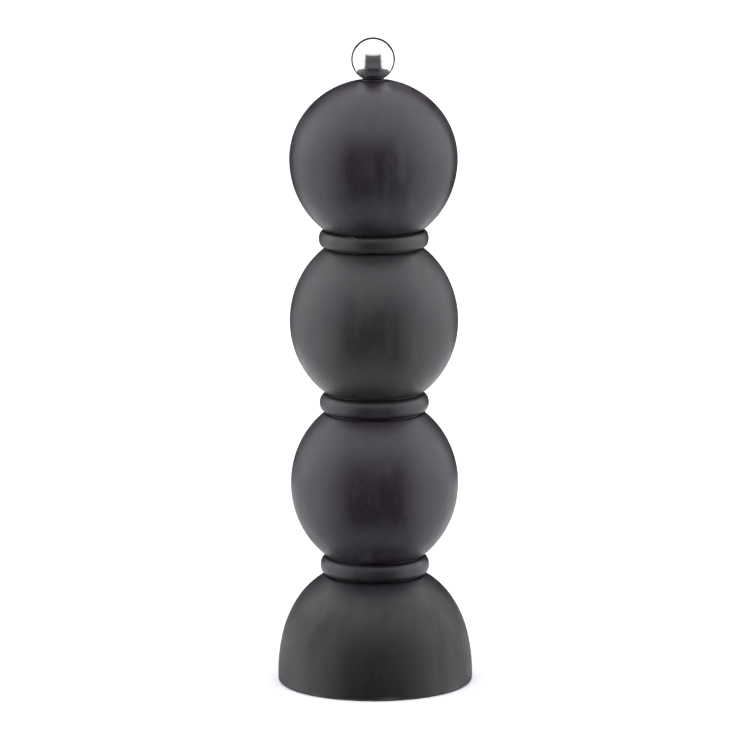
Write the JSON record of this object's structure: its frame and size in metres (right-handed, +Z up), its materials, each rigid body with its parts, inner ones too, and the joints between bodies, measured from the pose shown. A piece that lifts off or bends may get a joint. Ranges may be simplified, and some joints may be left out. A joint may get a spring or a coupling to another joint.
{
  "type": "pepper mill",
  "caption": "Tall turned black wooden pepper mill with stacked balls, a bell foot and a steel ball knob; twisting head over a ceramic grinder.",
  "frame": {"origin": "centre of the foot, on the surface the mill stands on", "axes": "+Z up along the turning axis; +X and +Y across, the retaining ring's gap faces -Y"},
  "size_m": [0.0722, 0.0722, 0.24],
  "materials": {
    "painted_wood": "matte black paint over turned wood",
    "polished_steel": "mirror-polished stainless steel",
    "black_nylon": "moulded nylon",
    "ceramic_burr": "sintered ceramic",
    "spring_steel": "spring steel",
    "zinc_steel": "zinc-plated steel",
    "shaft_aluminium": "drawn aluminium",
    "insert_brass": "machined brass"
  },
  "bodies": {
    "body": {"body": "painted_wood", "grinder_housing": "black_nylon", "stator_ring": "ceramic_burr", "retaining_ring": "spring_steel", "bridge": "zinc_steel", "housing_screws": "zinc_steel", "spring": "spring_steel"},
    "spring_seat": {"spring_seat": "zinc_steel"},
    "shaft": {"shaft": "shaft_aluminium", "rotor": "ceramic_burr", "rotor_carrier": "black_nylon", "clip_washer": "zinc_steel", "shaft_clip": "spring_steel"},
    "head_ring": {"head_ring": "black_nylon"},
    "head": {"head": "painted_wood", "drive_plate": "zinc_steel", "plate_screws": "zinc_steel"},
    "knob_washer": {"knob_washer": "black_nylon"},
    "knob": {"knob": "polished_steel", "knob_insert": "insert_brass"}
  },
  "joints": [
    {"name": "grind_adjust", "type": "slide", "parent": "body", "child": "spring_seat", "axis": [0, 0, 1], "range_m": [-0.0012, 0.0008], "deforming": ["spring"]},
    {"name": "shaft_turn", "type": "hinge", "parent": "spring_seat", "child": "shaft", "pos_m": [0, 0, 0.02], "axis": [0, 0, 1], "continuous": true},
    {"name": "head_lift", "type": "slide", "parent": "body", "child": "head_ring", "axis": [0, 0, 1], "range_m": [0, 0.09]},
    {"name": "head_turn", "type": "hinge", "parent": "head_ring", "child": "head", "pos_m": [0, 0, 0.19], "axis": [0, 0, 1], "continuous": true},
    {"name": "knob_lift", "type": "slide", "parent": "head", "child": "knob_washer", "axis": [0, 0, 1], "range_m": [0, 0.015]},
    {"name": "knob_turn", "type": "hinge", "parent": "knob_washer", "child": "knob", "pos_m": [0, 0, 0.23], "axis": [0, 0, 1], "range_deg": [-361, 541]}
  ],
  "couplings": [
    {"joint": "shaft_turn", "follows": "head_turn", "ratio": 1},
    {"joint": "knob_turn", "follows": "grind_adjust", "rad_per_m": -7854}
  ]
}
